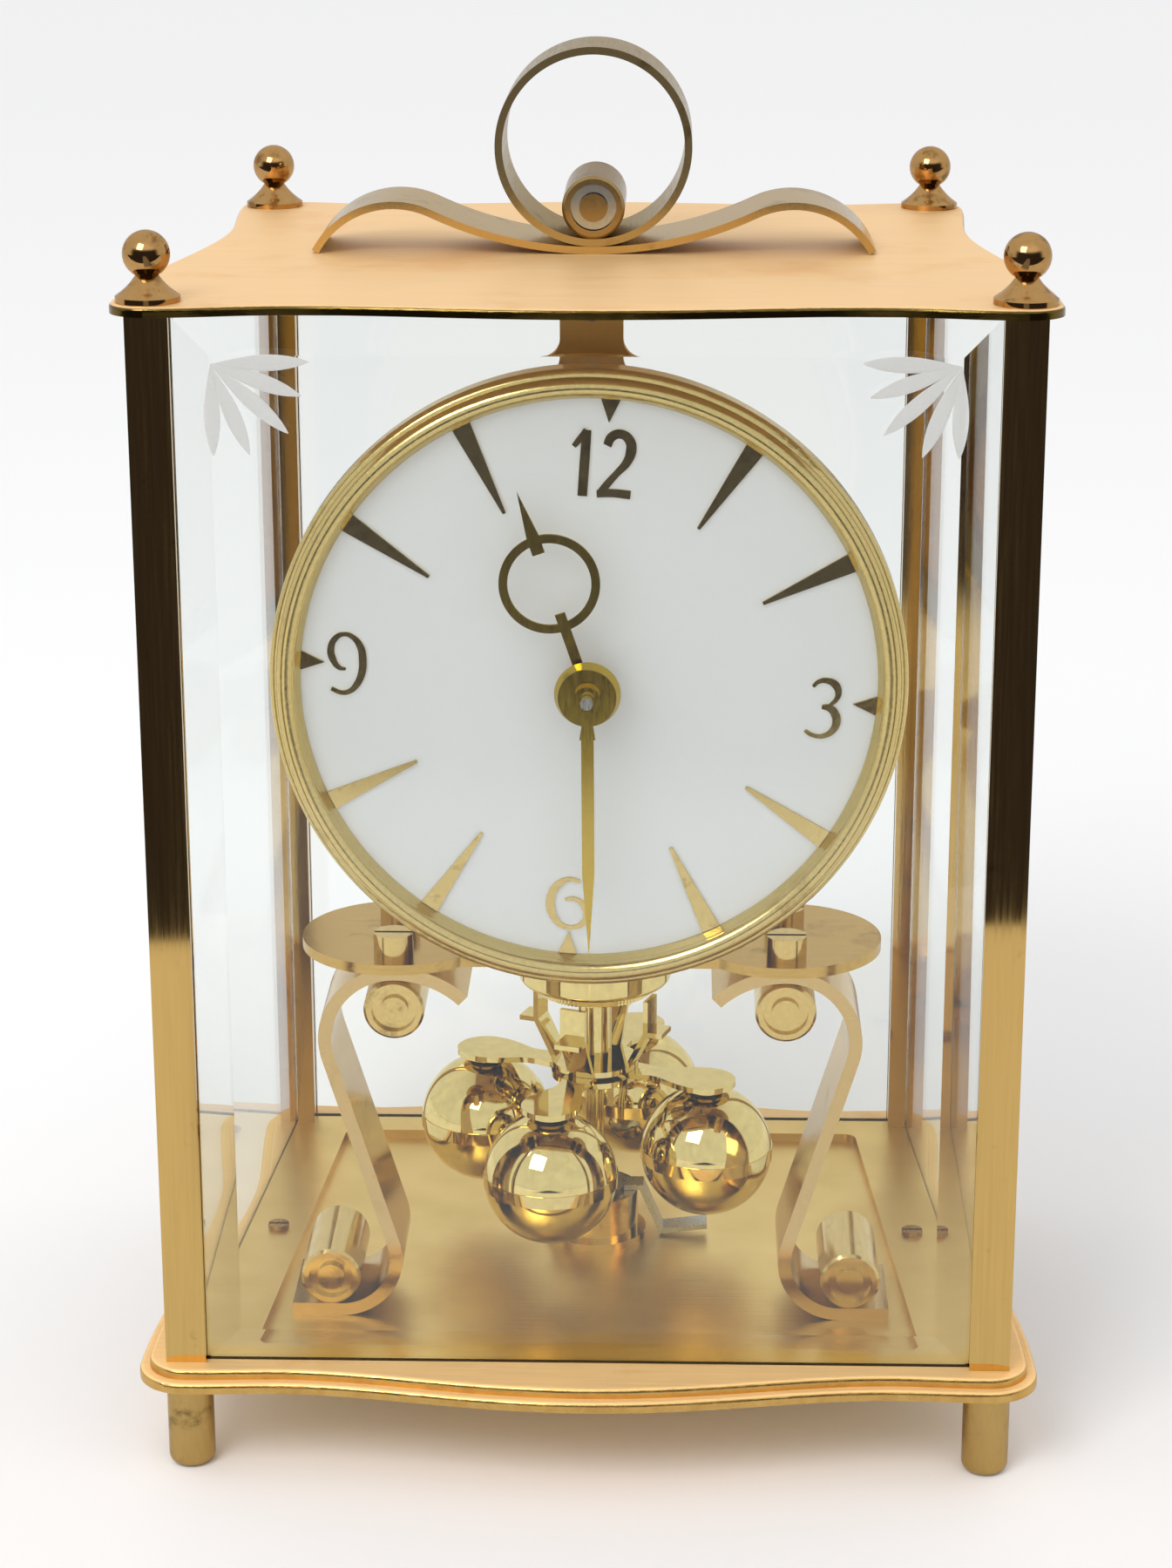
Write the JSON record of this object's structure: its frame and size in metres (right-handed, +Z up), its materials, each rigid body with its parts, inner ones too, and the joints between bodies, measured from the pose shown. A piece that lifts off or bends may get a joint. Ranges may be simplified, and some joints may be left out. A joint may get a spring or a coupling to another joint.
{
  "type": "torsion clock",
  "caption": "Desk torsion clock in a glazed brass case with ring handle, white dial with brass markers, S supports and a turning pendulum of four balls",
  "frame": {"origin": "on the ground under the middle of the case", "axes": "+X to the right seen from the front, +Y to the back, +Z up"},
  "size_m": [0.1348, 0.1172, 0.2071],
  "materials": {
    "satin_brass": "satin, brushed",
    "polished_brass": "polished",
    "glass": "clear, bevelled front",
    "bezel_brass": "polished, bright yellow",
    "white_dial": "white satin enamel",
    "movement_brass": "fine brushed",
    "pendulum_brass": "mirror polished, lacquered",
    "steel": "plain"
  },
  "bodies": {
    "case": {"base_plate": "satin_brass", "floor_plate": "satin_brass", "top_plate": "satin_brass", "feet": "polished_brass", "corner_posts": "polished_brass", "finials": "polished_brass", "handle_strip": "polished_brass", "handle_ring": "polished_brass", "handle_roll": "polished_brass", "left_support": "polished_brass", "right_support": "polished_brass", "support_rolls": "polished_brass", "platform": "polished_brass", "platform_screws": "polished_brass", "floor_screws": "polished_brass", "front_glass": "glass", "back_glass": "glass", "left_glass": "glass", "right_glass": "glass", "bezel": "bezel_brass", "hour_markers": "bezel_brass", "dial": "white_dial", "front_plate": "movement_brass", "back_plate": "movement_brass", "pillars": "movement_brass", "suspension_saddle": "movement_brass", "guide_cup": "pendulum_brass", "handle_screw": "steel", "support_screws": "steel", "movement_screws": "steel", "bracket_screws": "steel", "suspension_spring": "steel"},
    "minute": {"centre_wheel": "movement_brass", "cannon_pinion": "steel", "minute_hand": "bezel_brass", "hand_washer": "bezel_brass", "hand_nut": "bezel_brass"},
    "hour": {"hour_wheel": "movement_brass", "hour_hand": "bezel_brass"},
    "motion": {"minute_wheel": "movement_brass"},
    "third": {"third_wheel": "movement_brass"},
    "escape": {"escape_wheel": "movement_brass"},
    "second": {"second_wheel": "movement_brass"},
    "first": {"first_wheel": "movement_brass"},
    "barrel": {"barrel": "movement_brass", "mainspring": "steel"},
    "winding": {"barrel_arbor": "steel", "ratchet_wheel": "movement_brass"},
    "click": {"click": "steel"},
    "anchor": {"anchor": "steel"},
    "fork": {"fork": "movement_brass"},
    "pendulum": {"pendulum_spindle": "pendulum_brass", "pendulum_frame": "pendulum_brass"},
    "rating": {"rating_disc": "pendulum_brass"},
    "ball_1": {"ball_front": "pendulum_brass"},
    "ball_2": {"ball_right": "pendulum_brass"},
    "ball_3": {"ball_back": "pendulum_brass"},
    "ball_4": {"ball_left": "pendulum_brass"},
    "lever": {"locking_lever": "steel"}
  },
  "joints": [
    {"name": "minute_turn", "type": "hinge", "parent": "case", "child": "minute", "pos_m": [0, -0.04, 0.1193], "axis": [0, 1, 0], "continuous": true},
    {"name": "hour_turn", "type": "hinge", "parent": "case", "child": "hour", "pos_m": [0, -0.037, 0.1193], "axis": [0, 1, 0], "continuous": true},
    {"name": "motion_turn", "type": "hinge", "parent": "case", "child": "motion", "pos_m": [-0.00902, -0.029, 0.11602], "axis": [0, 1, 0], "continuous": true},
    {"name": "third_turn", "type": "hinge", "parent": "case", "child": "third", "pos_m": [0.01051, -0.02, 0.13], "axis": [0, 1, 0], "continuous": true},
    {"name": "escape_turn", "type": "hinge", "parent": "case", "child": "escape", "pos_m": [0, -0.02, 0.1368], "axis": [0, 1, 0], "continuous": true},
    {"name": "second_turn", "type": "hinge", "parent": "case", "child": "second", "pos_m": [-0.01418, -0.02, 0.1218], "axis": [0, 1, 0], "continuous": true},
    {"name": "first_turn", "type": "hinge", "parent": "case", "child": "first", "pos_m": [-0.01045, -0.02, 0.10789], "axis": [0, 1, 0], "continuous": true},
    {"name": "barrel_turn", "type": "hinge", "parent": "case", "child": "barrel", "pos_m": [0.00405, -0.02, 0.10113], "axis": [0, 1, 0], "continuous": true},
    {"name": "winding_turn", "type": "hinge", "parent": "case", "child": "winding", "pos_m": [0.00405, -0.01, 0.10113], "axis": [0, 1, 0], "range_deg": [0, 6000]},
    {"name": "click_swing", "type": "hinge", "parent": "case", "child": "click", "pos_m": [0.01087, -0.012, 0.11295], "axis": [0, 1, 0], "range_deg": [0, 25]},
    {"name": "pendulum_swing", "type": "hinge", "parent": "case", "child": "pendulum", "pos_m": [0, 0.003, 0.07485], "axis": [0, 0, 1], "range_deg": [-135, 135]},
    {"name": "fork_turn", "type": "hinge", "parent": "case", "child": "fork", "pos_m": [0, 0.003, 0.1582], "axis": [0, 0, 1], "range_deg": [-3.5, 3.5]},
    {"name": "anchor_rock", "type": "hinge", "parent": "case", "child": "anchor", "pos_m": [0, -0.02, 0.1468], "axis": [0, 1, 0], "range_deg": [-4.1, 4.1]},
    {"name": "rating_turn", "type": "hinge", "parent": "pendulum", "child": "rating", "pos_m": [0, 0.003, 0.06045], "axis": [0, 0, 1], "range_deg": [-180, 180]},
    {"name": "lever_swing", "type": "hinge", "parent": "case", "child": "lever", "pos_m": [0, 0.003, 0.02425], "axis": [0, 0, 1], "range_deg": [-70, 0]},
    {"name": "ball_1_slide", "type": "slide", "parent": "pendulum", "child": "ball_1", "axis": [-0.342, -0.9397, 0], "range_m": [-0.001, 0.001]},
    {"name": "ball_2_slide", "type": "slide", "parent": "pendulum", "child": "ball_2", "axis": [0.9397, -0.342, 0], "range_m": [-0.001, 0.001]},
    {"name": "ball_3_slide", "type": "slide", "parent": "pendulum", "child": "ball_3", "axis": [0.342, 0.9397, 0], "range_m": [-0.001, 0.001]},
    {"name": "ball_4_slide", "type": "slide", "parent": "pendulum", "child": "ball_4", "axis": [-0.9397, 0.342, 0], "range_m": [-0.001, 0.001]}
  ],
  "couplings": [
    {"joint": "hour_turn", "follows": "minute_turn", "ratio": 0.083333},
    {"joint": "motion_turn", "follows": "minute_turn", "ratio": -0.33333},
    {"joint": "third_turn", "follows": "minute_turn", "ratio": -4},
    {"joint": "escape_turn", "follows": "minute_turn", "ratio": 12},
    {"joint": "second_turn", "follows": "minute_turn", "ratio": -0.125},
    {"joint": "first_turn", "follows": "minute_turn", "ratio": 0.015625},
    {"joint": "barrel_turn", "follows": "minute_turn", "ratio": -0.0017361},
    {"joint": "fork_turn", "follows": "pendulum_swing", "ratio": 0.025926},
    {"joint": "anchor_rock", "follows": "pendulum_swing", "ratio": 0.030358},
    {"joint": "rating_turn", "follows": "ball_1_slide", "rad_per_m": 3141.6},
    {"joint": "ball_2_slide", "follows": "ball_1_slide", "ratio": 1},
    {"joint": "ball_3_slide", "follows": "ball_1_slide", "ratio": 1},
    {"joint": "ball_4_slide", "follows": "ball_1_slide", "ratio": 1}
  ]
}
